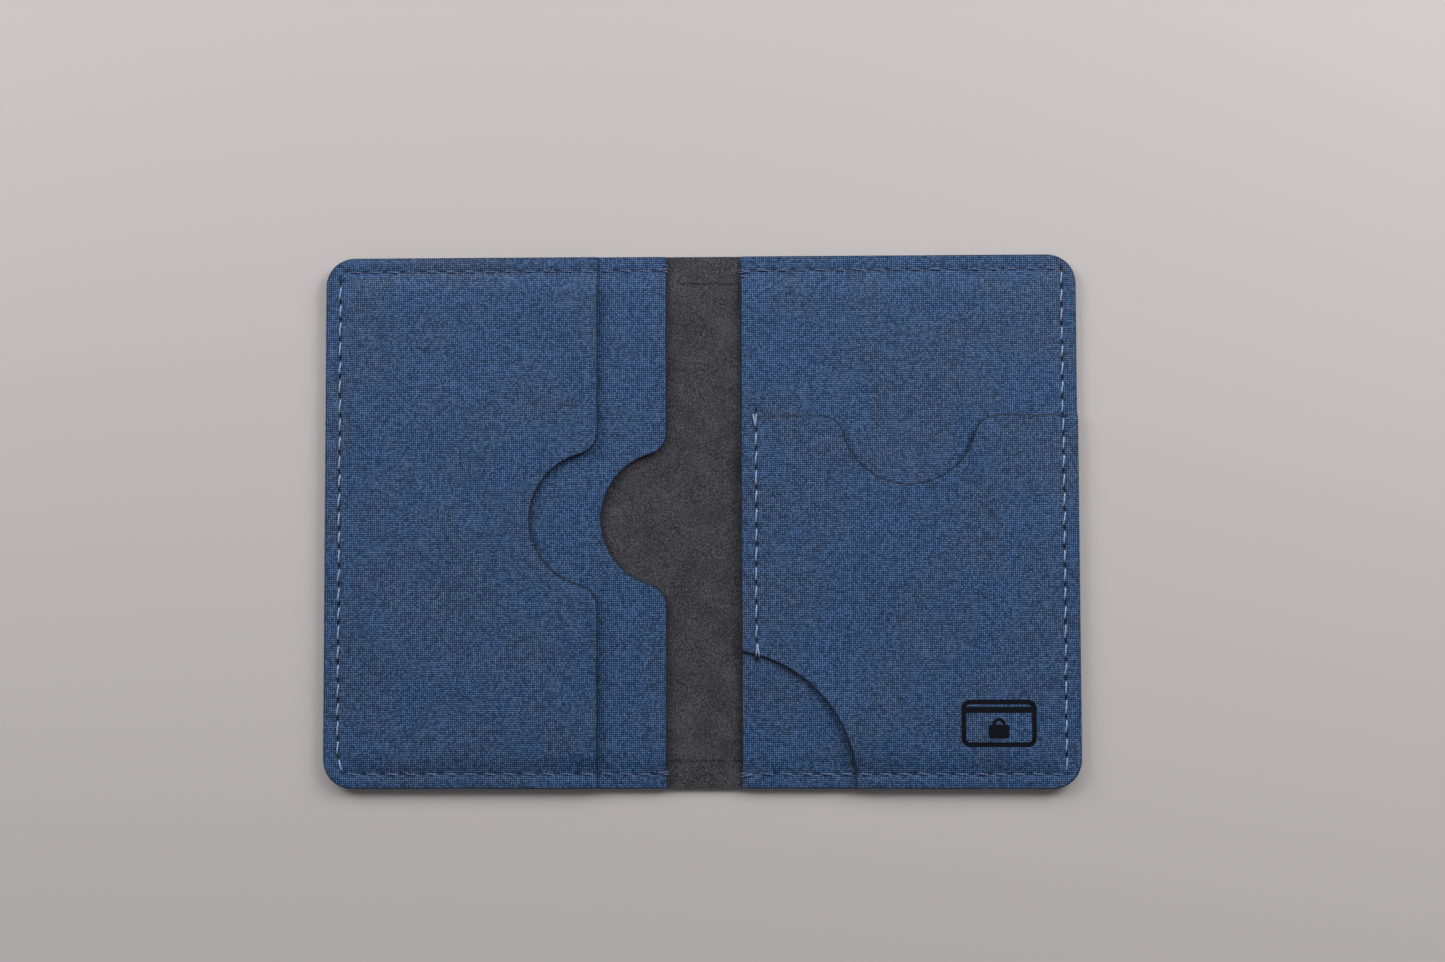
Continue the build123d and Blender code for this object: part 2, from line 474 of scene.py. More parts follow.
def lining_face(points):
    """The lining shows the foil's edge below it as a faint step."""
    inside = np.minimum(foil_x - abs(points[:, X]), foil_y - abs(points[:, Y]))
    step = foil_step * (smooth(inside / foil_step_width + 0.5) - 1)
    height, length = lining_waves
    return lining_top + step + height * waves(points, 11, length) - lining_drop * page_rim(points)


def cover_underside(points):
    """The outer face, sunk along both seams on its underside."""
    pull = seam_pull(points, left_seam) + seam_pull(points, right_seam)
    holes = needle_holes(points, left_seam) + needle_holes(points, right_seam)
    sunk = groove_depth * np.clip(pull, 0, 1) + groove_hole_depth * holes
    return sunk + underside_rise * page_rim(points)


rear_under = resting(lining_face, left_inside, lambda p: p[:, X] - left_mouth, rear_lift, 21)
rear_face = drawn_down(rear_under, sleeve_thickness, [left_seam])
front_under = resting(rear_face, left_inside, lambda p: p[:, X] - front_mouth, front_lift, 22)
front_face = drawn_down(front_under, sleeve_thickness, [left_seam])
right_under = resting(lining_face, right_inside, lambda p: right_mouth - p[:, X], right_lift, 23)
right_face = drawn_down(right_under, sleeve_thickness, [right_seam, pocket_seam])
pocket_under = bulging(
    resting(right_face, pocket_inside, lambda p: p[:, Y] - pocket_top, pocket_lift, 24)
)
pocket_face = drawn_down(pocket_under, sleeve_thickness, [right_seam, pocket_seam])


def falling(upper, lower, beyond):
    """A thread's way over a sheet's edge: from the upper surface to the lower one."""
    return upper + (lower - upper) * smooth(beyond / drape)


def left_surface(points):
    """The surface that the left needle thread lies on."""
    on_rear = falling(rear_face(points), lining_face(points), points[:, X] - left_mouth)
    return falling(front_face(points), on_rear, points[:, X] - front_mouth)


def right_surface(points):
    """The surface that the right needle thread and the pocket's lie on."""
    on_sleeve = falling(right_face(points), lining_face(points), right_mouth - points[:, X])
    past_cut = push_cut_radius - np.linalg.norm(points - push_cut_centre, axis=1)
    return falling(pocket_face(points), on_sleeve, np.maximum(points[:, Y] - pocket_top, past_cut))


# ---------------------------------------------------------------- sheet meshes
def inset(outline, distance, cut_x):
    """The outline moved inwards. An edge on the line x = cut_x stays: the next piece goes on from it."""
    step = np.roll(outline, -1, axis=0) - outline
    outward = np.stack([step[:, Y], -step[:, X]], axis=1)
    outward /= np.linalg.norm(outward, axis=1)[:, None]
    if cut_x is not None:
        on_cut = np.isclose(outline[:, X], cut_x) & np.isclose(np.roll(outline, -1, axis=0)[:, X], cut_x)
        outward[on_cut] = 0
    normal = outward + np.roll(outward, 1, axis=0)
    length = np.linalg.norm(normal, axis=1)
    normal[length > 0] /= length[length > 0][:, None]
    return outline - distance * normal


def inside_outline(points, outline, clearance):
    """Which points lie inside an outline, at least a clearance away from it."""
    ends = np.roll(outline, -1, axis=0)
    inside = np.zeros(len(points), bool)
    nearest = np.full(len(points), np.inf)
    for start, end in zip(outline, ends):
        crosses = (start[Y] > points[:, Y]) != (end[Y] > points[:, Y])
        if start[Y] != end[Y]:
            at = start[X] + (points[:, Y] - start[Y]) * (end[X] - start[X]) / (end[Y] - start[Y])
            inside ^= crosses & (points[:, X] < at)
        nearest = np.minimum(nearest, run_distance(points, start, end))
    return inside & (nearest > clearance)


def thinned(points, gap):
    """The points without those that fall into the same small square as an earlier one."""
    cells = np.round(points / gap).astype(int)
    _, first = np.unique(cells, axis=0, return_index=True)
    return points[np.sort(first)]


def inner_points(outline, seams, fold_x):
    """Points to mesh a sheet with: fine along its seams and across a fold, and coarse elsewhere."""
    low, high = outline.min(axis=0), outline.max(axis=0)
    rows = np.arange(low[Y], high[Y], grid_step * row_share)
    columns = np.arange(low[X], high[X], grid_step)
    grid = np.array([(x + grid_step / 2 * (j % 2), y) for j, y in enumerate(rows) for x in columns])
    if fold_x is not None:
        reach = bend_reach + 3 * fold_step
        grid = grid[abs(grid[:, X] - fold_x) > reach]
        across = np.arange(fold_x - reach, fold_x + reach, fold_step)
        along = np.arange(low[Y], high[Y], line_step)
        grid = np.concatenate([grid, np.array([(x, y) for x in across for y in along])])
    for seam in seams:
        grid = grid[seam_distance(grid, seam) > seam_rows[-1] + grid_step / 2]
        grid = np.concatenate([grid, thinned(seam_points(seam), seam_gap)])
    return grid[inside_outline(grid, outline, rim_gap)]


def triangulated(loop, points):
    """Triangles inside a loop over the given points: all points, the loop's own indices, and the faces."""
    flat = [Vector(p) for p in np.concatenate([loop, points])]
    found = delaunay_2d_cdt(flat, [], [list(range(len(loop)))], 1, 1e-6)
    new_points, faces, sources = found[0], found[2], found[3]
    index = {old: new for new, olds in enumerate(sources) for old in olds}
    return np.array([tuple(p) for p in new_points]), [index[i] for i in range(len(loop))], faces


def stacked(parts):
    """Several shells as one list of points and one of faces."""
    points, faces = [], []
    for part_points, part_faces in parts:
        faces += [tuple(i + len(points) for i in face) for face in part_faces]
        points += list(part_points)
    return np.array(points), faces


def placed(name, data):
    """A new object in the scene."""
    made = bpy.data.objects.new(name, data)
    bpy.context.scene.collection.objects.link(made)
    return made


def finished_mesh(name, points, faces, materials, face_materials=None, **values):
    """A smooth mesh object in metres, which keeps its rest place and other values at each point."""
    mesh = bpy.data.meshes.new(name)
    mesh.from_pydata((np.asarray(points) * MM).tolist(), [], [list(f) for f in faces])
    for made in materials:
        mesh.materials.append(made)
    if face_materials is not None:
        mesh.polygons.foreach_set("material_index", face_materials)
    rest = mesh.attributes.new("rest", "FLOAT_VECTOR", "POINT")
    rest.data.foreach_set("vector", np.asarray(points, np.float32).ravel())
    for key, value in values.items():
        attribute = mesh.attributes.new(key, "FLOAT", "POINT")
        attribute.data.foreach_set("value", np.asarray(value, np.float32))
    mesh.shade_smooth()
    mesh.update()
    return placed(name, mesh)


def welded(mesh):
    """Joins the points that coincide where a half sheet ends on the spine, and keeps its corners sharp."""
    made = bmesh.new()
    made.from_mesh(mesh)
    bmesh.ops.remove_doubles(made, verts=made.verts, dist=1e-7)
    made.to_mesh(mesh)
    made.free()
    mesh.set_sharp_from_angle(angle=math.radians(sharp_angle))


def ring_faces(above, below):
    """Faces between two rings of the same number of points."""
    size = len(above)
    return [(above[i], below[i], below[(i + 1) % size], above[(i + 1) % size]) for i in range(size)]


def sheet_piece(name, outline, under, over, materials, seams, fold_x=None, coated=HIGH):
    """A closed sheet between two surfaces, with a rounded rim.

    The first material is on the coated side, and the second on the other side and most of the cut edge.
    """
    cut_x = None if fold_x is None else 0.0
    outline = inset(subdivided(outline), -fray, cut_x)
    inner = inset(outline, rim_width, cut_x)
    points, loop, triangles = triangulated(inner, inner_points(inner, seams, fold_x))
    top, bottom = over(points), under(points)
    holes = np.zeros(len(points))
    for seam in seams:
        holes = np.maximum(holes, needle_holes(points, seam))
    if coated == HIGH:
        top = top - hole_depth * holes
    count = len(points)
    corners = [np.column_stack([points, top]), np.column_stack([points, bottom])]
    faces = [tuple(t) for t in triangles] + [tuple(i + count for i in reversed(t)) for t in triangles]
    side = [HIGH] * len(triangles) + [LOW] * len(triangles)

    thickness = float((over(outline) - under(outline)).min())
    radius = min(edge_radius, edge_share * thickness)
    depth = min(coat, coat_share * thickness)
    profile = [  # inset, height, from which face, and how dark it is painted: the cut edge's dark backing, with painted shadow along the edge
        (backing_and_shadow_width, 0.0, HIGH, 0.8),
        (radius, 0.0, HIGH, 1.0),
        (rounding * radius, rounding * radius, HIGH, 1.0),
        (0.0, radius, HIGH, 1.0),
        (0.0, depth, HIGH, 1.0),
        (0.0, depth, LOW, 1.0),
        (0.0, radius, LOW, 1.0),
        (rounding * radius, rounding * radius, LOW, 1.0),
        (radius, 0.0, LOW, 0.5),
    ]
    backing_and_shadow_rings = [np.zeros(2 * count)]
    above = loop
    start = 2 * count
    size = len(outline)
    for distance, height, face, backing_and_shadow in profile:
        ring = inset(outline, distance, cut_x)
        level = over(ring) - height if face == HIGH else under(ring) + height
        corners.append(np.column_stack([ring, level]))
        # The dark band is partly the backing's colour and partly painted shadow of the edge, weaker at the
        # page's outer rim.
        shows = backing_and_shadow * (1 - outer_rim_backing_and_shadow_cut * page_rim(ring))
        backing_and_shadow_rings.append(shows if cut_x is None else np.where(np.isclose(ring[:, X], cut_x), 0, shows))
        below = list(range(start, start + size))
        faces += ring_faces(above, below)
        side += [face] * size
        above = below
        start += size
    faces += ring_faces(above, [i + count for i in loop])
    side += [LOW] * size

    shown = [0 if s == coated else 1 for s in side]
    # Needle holes, for their dents in the mesh and for the painted shade in them.
    both = np.concatenate([holes, holes, np.zeros(start - 2 * count)])
    piece = finished_mesh(
        name, np.concatenate(corners), faces, materials, shown, edge=np.concatenate(backing_and_shadow_rings), hole=both
    )
    welded(piece.data)
    return piece


# ---------------------------------------------------------------- threads
def ply_tube(path, sideways, phase, radius, offset):
    """One ply of a thread that winds round a path: points and faces of a closed tube."""
    step = np.linalg.norm(np.diff(path, axis=0), axis=1)
    travelled = np.concatenate([[0], np.cumsum(step)])
    tangent = np.gradient(path, axis=0)
    tangent /= np.linalg.norm(tangent, axis=1)[:, None]
    upwards = np.cross(sideways, tangent)
    upwards /= np.linalg.norm(upwards, axis=1)[:, None]
    twist = 2 * math.pi * travelled / ply_pitch + phase
    middle = path + offset * (np.cos(twist)[:, None] * sideways + np.sin(twist)[:, None] * upwards)
    points, faces = [], []
    for i in range(len(path)):
        for j in range(ply_sides):
            angle = 2 * math.pi * j / ply_sides
            around = math.cos(angle) * sideways + math.sin(angle) * upwards[i]
            points.append(middle[i] + radius * around)
    for i in range(len(path) - 1):
        for j in range(ply_sides):
            a, b = i * ply_sides + j, i * ply_sides + (j + 1) % ply_sides
            faces.append((a, b, b + ply_sides, a + ply_sides))
    last = (len(path) - 1) * ply_sides
    faces.append(tuple(reversed(range(ply_sides))))
    faces.append(tuple(range(last, last + ply_sides)))
    return points, faces


def stitch_path(start, end, surface, lean, raised, flip):
    """A stitch: out of one hole, over the sheet at a slight slant, and into the next hole."""
    share = np.linspace(0, 1, stitch_points)
    along, across = heading_of(start, end)
    start = start + along * stitch_start
    run = end - along * stitch_start - start
    flat = start + share[:, None] * run + (lean * (1 - 2 * share))[:, None] * across
    arch = (stitch_sink + stitch_rise + raised) * (1 - abs(2 * share - 1) ** stitch_fullness) - stitch_sink
    level = surface(flat) + flip * arch
    return np.column_stack([flat, level]), np.array([across[X], across[Y], 0.0])


def tacks(holes):
    """Stitches that double both ends of a seam: each leaves the same hole, and ends beside the first.

    Where a seam starts across the page, a third and shorter stitch lies beside the second.
    """
    added = []
    for outer, inner in ((holes[-1], holes[-2]), (holes[0], holes[1])):
        run = outer - inner
        beside = heading_of(inner, outer)[1] * tack_spread
        added.append((inner, outer + beside))
    if abs(run[X]) > abs(run[Y]):
        start, end, start_beside, end_beside = third_tack
        added.append((inner + start * run + start_beside * beside, inner + end * run + end_beside * beside))
    return added


def thread_piece(name, seam, surface, made, thickness, flip, tacked):
    """One thread's stitches on one side of the sheets, each of three twisted plies."""
    tubes, plies, runs_up = [], [], []
    random = np.random.default_rng(len(name))
    holes = seam["holes"]
    stitches = [(a, b, slant, 0.0) for a, b in zip(holes, holes[1:])]
    if tacked:
        stitches += [(a, b, 0.0, tack_rise) for a, b in tacks(holes)]
    for a, b, lean, raised in stitches:
        lean = lean * random.uniform(*lean_spread)
        path, sideways = stitch_path(a, b, surface, lean, raised + random.uniform(*rise_spread), flip)
        phase = random.uniform(0, 2 * math.pi)
        for k in range(ply_count):
            turned = phase + 2 * math.pi * k / ply_count
            tubes.append(ply_tube(path, sideways, turned, ply_radius * thickness, ply_offset * thickness))
            count = len(tubes[-1][0])
            plies += [k / ply_count + ply_shade * random.random()] * count
            # Marks the stitches that run up the page, which get the thread's painted highlight.
            runs_up += [abs(b[X] - a[X]) < most_slant * abs(b[Y] - a[Y])] * count
    return finished_mesh(name, *stacked(tubes), [made], ply=plies, runs_up=runs_up)


# ---------------------------------------------------------------- printed pictogram
def rail_pair(left, right, closed=False):
    """A printed stroke between two rows of points, as a thin shell on the card pocket: points and faces."""
    left, right = np.array(left), np.array(right)
    size = len(left)
    flat = np.concatenate([left, right])
    level = pocket_face(flat)
    points = np.concatenate(
        [np.column_stack([flat, level + ink_height]), np.column_stack([flat, level - ink_height])]
    )
    faces = []
    ends = size if closed else size - 1
    for i in range(ends):
        a, b = i, (i + 1) % size
        c, d = a + size, b + size
        low = 2 * size
        faces += [
            (a, c, d, b),
            (a + low, b + low, d + low, c + low),
            (a, b, b + low, a + low),
            (c, c + low, d + low, d),
        ]
    if not closed:
        faces += [(0, 2 * size, 3 * size, size), (size - 1, 2 * size - 1, 4 * size - 1, 3 * size - 1)]
    return points, faces


def between(start, end, steps):
    """Points on a straight line, both ends left out."""
    shares = [i / steps for i in range(1, steps)]
    return [tuple(a + (b - a) * share for a, b in zip(start, end)) for share in shares]


def rounded_box(centre, width, height, radius):
    """Outline of a rounded rectangle, with the same number of points for any size."""
    points = []
    side_steps, arc_steps = 14, 8
    for x_side, y_side, start in ((1, -1, -90), (1, 1, 0), (-1, 1, 90), (-1, -1, 180)):
        x = centre[X] + x_side * (width / 2 - radius)
        y = centre[Y] + y_side * (height / 2 - radius)
        arc = [math.radians(start + 90 * i / arc_steps) for i in range(arc_steps + 1)]
        arc = [(x + radius * math.cos(angle), y + radius * math.sin(angle)) for angle in arc]
        if points:
            points += between(points[-1], arc[0], side_steps)
        points += arc
    return points + between(points[-1], points[0], side_steps)


def card_frame(centre, width, height):
    """The card's outline."""
    return rail_pair(
        rounded_box(centre, width, height, card_corner),
        rounded_box(centre, width - 2 * card_line, height - 2 * card_line, card_corner - card_line),
        closed=True,
    )


def card_stripe(centre, width):
    """The dark stripe across the card."""
    reach = (width - card_line) / 2
    places = np.linspace(centre[X] - reach, centre[X] + reach, 24)
    low, high = (centre[Y] + stripe_rise + side * stripe_height / 2 for side in (-1, 1))
    return rail_pair([(x, low) for x in places], [(x, high) for x in places])


def lock_body(middle):
    """The padlock's body with rounded corners, in three rows that follow the curved sheet."""
    across = np.linspace(-lock_width / 2, lock_width / 2, 21)
    past = np.maximum(abs(across) - lock_width / 2 + lock_corner, 0)
    half = lock_height / 2 - lock_corner + np.sqrt(np.maximum(lock_corner**2 - past**2, 0))
    rows = [
        [(middle[X] + x, middle[Y] + share * h) for x, h in zip(across, half)]
        for share in (-1, -1 / 3, 1 / 3, 1)
    ]
    return [rail_pair(low, high) for low, high in zip(rows, rows[1:])]


def lock_shackle(middle):
    """The padlock's shackle: half a ring."""
    angles = [math.radians(180 * i / 16) for i in range(17)]
    outer, inner = (
        [(middle[X] + radius * math.cos(a), middle[Y] + radius * math.sin(a)) for a in angles]
        for radius in (shackle_radius, shackle_radius - shackle_line)
    )
    return rail_pair(outer, inner)


def pictogram(made):
    """A card with a stripe and a padlock, drawn in strokes."""
    width, height = (mark_high[axis] - mark_low[axis] for axis in (X, Y))
    centre = [(mark_high[axis] + mark_low[axis]) / 2 for axis in (X, Y)]
    lock_centre = (centre[X], centre[Y] - lock_drop)
    shackle_centre = (centre[X], lock_centre[Y] + lock_height / 2 - shackle_sink)
    strokes = [
        card_frame(centre, width, height),
        card_stripe(centre, width),
        *lock_body(lock_centre),
        lock_shackle(shackle_centre),
    ]
    piece = finished_mesh("pictogram", *stacked(strokes), [made])
    piece.data.shade_flat()
    return piece


# ---------------------------------------------------------------- materials
class Tree:
    """A material's node tree, with short calls for the nodes that these materials use."""

    def __init__(self, name):
        self.material = bpy.data.materials.new(name)
        self.material.use_nodes = True
        self.nodes = self.material.node_tree.nodes
        self.links = self.material.node_tree.links
        self.shader = self.nodes["Principled BSDF"]

    def add(self, kind, inputs=(), **settings):
        """A new node. Inputs pair a socket with what goes in: another node's output, or a constant."""
        made = self.nodes.new(kind)
        for key, value in settings.items():
            setattr(made, key, value)
        for socket, value in dict(inputs).items():
            if isinstance(value, bpy.types.NodeSocket):
                self.links.new(value, made.inputs[socket])
            else:
                made.inputs[socket].default_value = value
        return made

    def math(self, operation, *values, clamp=False):
        made = self.add("ShaderNodeMath", enumerate(values), operation=operation, use_clamp=clamp)
        return made.outputs[0]

    def times(self, a, b, plus=None, clamp=False):
        """The product of two values, with a third one added if it is given."""
        if plus is None:
            return self.math("MULTIPLY", a, b, clamp=clamp)
        return self.math("MULTIPLY_ADD", a, b, plus, clamp=clamp)

    def vector(self, x, y, z=0.0):
        return self.add("ShaderNodeCombineXYZ", {"X": x, "Y": y, "Z": z}).outputs[0]

    def value(self, name):
        """A number kept at each point of the mesh."""
        return self.add("ShaderNodeAttribute", attribute_name=name).outputs["Fac"]

    def rest(self):
        """x, y and z at rest, in millimetres, so that a pattern stays on its sheet when the sheet moves."""
        place = self.add("ShaderNodeAttribute", attribute_name="rest").outputs["Vector"]
        return self.add("ShaderNodeSeparateXYZ", {0: place}).outputs

    def noise(self, place, scale, detail, roughness=0.5):
        """Random but smooth values about 0.5. A place is x, y and, where it matters, z."""
        inputs = {"Vector": self.vector(*place), "Scale": scale, "Detail": detail, "Roughness": roughness}
        return self.add("ShaderNodeTexNoise", inputs).outputs[0]

    def spread(self, value, low, high, to_low=0.0, to_high=1.0):
        inputs = {"Value": value, "From Min": low, "From Max": high, "To Min": to_low, "To Max": to_high}
        return self.add("ShaderNodeMapRange", inputs).outputs[0]

    def ramp(self, factor, stops):
        """Colours at places from 0 to 1."""
        made = self.add("ShaderNodeValToRGB", {"Fac": factor})
        elements = made.color_ramp.elements
        while len(elements) < len(stops):
            elements.new(0.5)
        for element, (place, colour) in zip(elements, stops):
            element.position = place
            element.color = (*colour, 1)
        return made.outputs[0]

    def mix(self, factor, a, b):
        made = self.add("ShaderNodeMix", {0: factor}, data_type="RGBA")
        for socket, value in ((made.inputs[6], a), (made.inputs[7], b)):
            if isinstance(value, bpy.types.NodeSocket):
                self.links.new(value, socket)
            else:
                socket.default_value = (*value, 1)
        return made.outputs[2]

    def bump(self, height, distance, strength):
        inputs = {"Height": height, "Distance": distance * MM, "Strength": strength}
        return self.add("ShaderNodeBump", inputs).outputs[0]

    def set(self, **sockets):
        """Sets the shader's own sockets. An underscore in a name stands for a space."""
        for key, value in sockets.items():
            socket = self.shader.inputs[key.replace("_", " ")]
            if isinstance(value, bpy.types.NodeSocket):
                self.links.new(value, socket)
            else:
                socket.default_value = value


warp_pitch = 0.53  # of the fabric's threads
weft_pitch = 0.56
foil_step_shade_width = 0.35  # of the painted shade along the foil's edge where its step shows on the lining
slow_sway = (0.055, 0.9)  # of the threads: how often along the sheet, per mm, and how far
quick_sway = (1.0, 0.18)


def weave(tree):
    """A plain weave of uneven threads: its height, and how light each thread is, both from 0 to 1."""
    x, y, _ = tree.rest()
    sway_x, sway_y = x, y
    for (often, far), detail in ((slow_sway, 2.0), (quick_sway, 1.0)):
        sway_x = tree.times(tree.noise((x, y), often, detail), far, plus=sway_x)
        sway_y = tree.times(tree.noise((y, x), often, detail), far, plus=sway_y)
    u = tree.math("DIVIDE", sway_x, warp_pitch)
    v = tree.math("DIVIDE", sway_y, weft_pitch)
    tones = []
    for across, along in ((u, sway_y), (v, sway_x)):
        thread = tree.times(tree.math("FLOOR", across), 13.7)
        place = (thread, tree.times(along, 0.45))
        tones.append(tree.spread(tree.noise(place, 1.0, 4.0, 0.65), 0.32, 0.68))
    warp_sine, weft_sine = (
        tree.math("SINE", tree.times(across, math.pi)) for across in (u, v)
    )
    parity = tree.times(warp_sine, weft_sine)
    warp_up = tree.times(parity, 1.4, plus=0.5, clamp=True)
    lead = tree.spread(tree.noise((x, y), 0.07, 2.0), 0.35, 0.65, 0.45, 0.95)
    warp_round = tree.math("POWER", tree.math("ABSOLUTE", warp_sine), lead)
    weft_round = tree.math("POWER", tree.math("ABSOLUTE", weft_sine), tree.math("SUBTRACT", 1.4, lead))
    height = tree.times(warp_round, weft_round)
    cell = tree.vector(tree.math("FLOOR", u), tree.math("FLOOR", v))
    speck = tree.add("ShaderNodeTexWhiteNoise", {"Vector": cell}, noise_dimensions="2D").outputs["Value"]
    warp_share = tree.times(tones[0], tree.times(warp_up, 0.5, plus=0.25))
    weft_share = tree.times(tones[1], tree.times(warp_up, -0.5, plus=0.75))
    tone = tree.math("ADD", warp_share, weft_share)
    return height, tree.times(speck, 0.5, plus=tree.times(tone, 0.5))


def streaks(tree):
    """Broad uneven bands along both threads, and slow mottling, about 0."""
    x, y, _ = tree.rest()
    bands = []
    for x_scale, y_scale in ((0.04, 1.1), (1.1, 0.04)):
        place = (tree.times(x, x_scale), tree.times(y, y_scale))
        bands.append(tree.noise(place, 1.0, 3.0))
    return tree.math("SUBTRACT", tree.math("ADD", *bands), 1.0)


def coated_weave(name):
    """Blue coated fabric: each thread in its own tone, with painted shade between its threads where they
    sink, and a dark band at its cut edge from its backing's colour and painted shadow.
    """
    tree = Tree(name)
    height, tone = weave(tree)
    # Painted shade: the colour follows the weave's height, darkest where the threads sink between each
    # other.
    brightness = tree.times(height, tree.times(tone, 1.1, plus=0.34))
    brightness = tree.times(streaks(tree), 0.14, plus=brightness)
    colour = tree.ramp(
        brightness,
        [
            (0.05, (0.002, 0.007, 0.026)),
            (0.40, (0.021, 0.054, 0.134)),
            (0.65, (0.048, 0.110, 0.250)),
            (1.00, (0.125, 0.240, 0.460)),
        ],
    )
    # Dark band along a cut edge: the backing's colour, and painted shadow along the edge.
    colour = tree.mix(tree.times(tree.value("edge"), 0.9), colour, (0.008, 0.010, 0.016))
    # Painted shade in the needle holes.
    hole = tree.times(tree.value("hole"), 1.25, clamp=True)
    colour = tree.mix(hole, colour, (0.004, 0.006, 0.012))
    tree.set(
        Base_Color=colour,
        Roughness=tree.spread(height, 0.0, 1.0, 0.68, 0.48),
        Normal=tree.bump(height, 0.09, 0.9),
        Specular_IOR_Level=0.25,
    )
    return tree.material


def dark_backing(name):
    """The knitted backing of the coated fabric, and its cut edge."""
    tree = Tree(name)
    x, y, z = tree.rest()
    fibres = tree.noise((x, y, z), 2.4, 4.0, 0.65)
    colour = tree.ramp(fibres, [(0.25, (0.010, 0.011, 0.016)), (0.75, (0.042, 0.044, 0.056))])
    tree.set(Base_Color=colour, Roughness=0.92, Normal=tree.bump(fibres, 0.12, 0.8), Specular_IOR_Level=0.2)
    return tree.material


def suede(name):
    """Charcoal suede: a short nap that lies one way, brushed lighter and darker in soft patches, with
    painted shade along the step over the foil's edge.
    """
    tree = Tree(name)
    x, y, z = tree.rest()
    nap = tree.noise((tree.times(x, 1.4), y, z), 2.0, 2.0, 0.6)
    grain = tree.noise((x, y, z), 4.5, 1.0)
    patches = tree.noise((x, y), 0.11, 4.0, 0.6)
    shade = tree.times(nap, 0.35, plus=tree.times(grain, 0.5))
    shade = tree.times(patches, 0.15, plus=shade)
    # Painted shade along the step that the foil's edge makes in the lining, broken by noise.
    from_foil = tree.math("SUBTRACT", tree.math("ABSOLUTE", y), foil_y)
    from_foil = tree.math("DIVIDE", from_foil, foil_step_shade_width)
    falloff = tree.times(from_foil, tree.times(from_foil, -1.0))
    foil_step_shade = tree.math("POWER", math.e, falloff)
    broken = tree.spread(tree.noise((x, y), 0.35, 3.0), 0.40, 0.60, 0.0, 0.10)
    shade = tree.math("SUBTRACT", shade, tree.times(foil_step_shade, broken))
    colour = tree.ramp(
        shade,
        [
            (0.40, (0.010, 0.010, 0.013)),
            (0.50, (0.042, 0.041, 0.049)),
            (0.60, (0.115, 0.112, 0.128)),
        ],
    )
    tree.set(
        Base_Color=colour,
        Roughness=0.95,
        Normal=tree.bump(shade, 0.16, 0.8),
        Specular_IOR_Level=0.15,
        Sheen_Weight=0.12,
        Sheen_Roughness=0.6,
    )
    return tree.material


def crinkled_foil(name):
    """Bright aluminised film with fine creases."""
    tree = Tree(name)
    x, y, z = tree.rest()
    creases = tree.noise((x, y, z), 0.35, 5.0, 0.6)
    colour = tree.ramp(creases, [(0.2, (0.62, 0.63, 0.65)), (0.8, (0.80, 0.81, 0.83))])
    tree.set(
        Base_Color=colour,
        Metallic=1.0,
        Roughness=tree.spread(creases, 0.2, 0.8, 0.22, 0.4),
        Normal=tree.bump(creases, 0.2, 0.6),
    )
    return tree.material


def polyester_thread(name, shaded, lit):
    """Glossy twisted thread with a painted highlight: lit colours in the stitches that run up the page,
    shaded ones in those across it.
    """
    tree = Tree(name)
    x, y, z = tree.rest()
    fibres = tree.noise((x, y, z), 3.2, 3.0, 0.6)
    shade = tree.times(tree.value("ply"), 0.35, plus=tree.times(fibres, 0.65))
    # Lit and shaded copies of the thread's colour: the pale one is a painted highlight, the dark one
    # painted shade.
    across, upwards = (tree.ramp(shade, [(0.25, dark), (0.75, light)]) for dark, light in (shaded, lit))
    tree.set(
        Base_Color=tree.mix(tree.value("runs_up"), across, upwards),
        Roughness=tree.spread(fibres, 0.3, 0.7, 0.3, 0.42),
        Normal=tree.bump(fibres, 0.03, 0.7),
        Specular_IOR_Level=0.6,
        Sheen_Weight=0.15,
        Sheen_Roughness=0.35,
    )
    return tree.material


def printed_ink(name):
    """Near-black ink in the weave's own uneven tones, with painted shade where the weave sinks between its
    threads.
    """
    tree = Tree(name)
    height, tone = weave(tree)
    shade = tree.times(height, 0.6, plus=tree.times(tone, 0.3))
    colour = tree.ramp(shade, [(0.1, (0.001, 0.001, 0.003)), (0.9, (0.007, 0.009, 0.015))])
    tree.set(Base_Color=colour, Roughness=0.7, Normal=tree.bump(height, 0.07, 0.8), Specular_IOR_Level=0.12)
    return tree.material


# ---------------------------------------------------------------- the pieces
cover_fabric = coated_weave("cover_fabric")
sleeve_fabric = coated_weave("sleeve_fabric")
backing = dark_backing("fabric_backing")
lining_suede = suede("lining_suede")
shield_foil = crinkled_foil("shield_foil")
# Each thread's first pair of colours is its painted shade, for stitches across the page, and its second
# pair its painted highlight, for stitches up the page.
threads = {
    "needle_thread": polyester_thread(
        "needle_thread",
        ((0.030, 0.050, 0.120), (0.165, 0.220, 0.400)),
        ((0.210, 0.290, 0.470), (0.520, 0.640, 0.860)),
    ),
    "bobbin_thread": polyester_thread(
        "bobbin_thread",
        ((0.014, 0.025, 0.066), (0.080, 0.115, 0.230)),
        ((0.030, 0.050, 0.110), (0.120, 0.160, 0.290)),
    ),
}
print_ink = printed_ink("print_ink")


def declare(nodes):
    """Hides the CAD nodes that a sheet stands for."""
    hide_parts(*nodes)


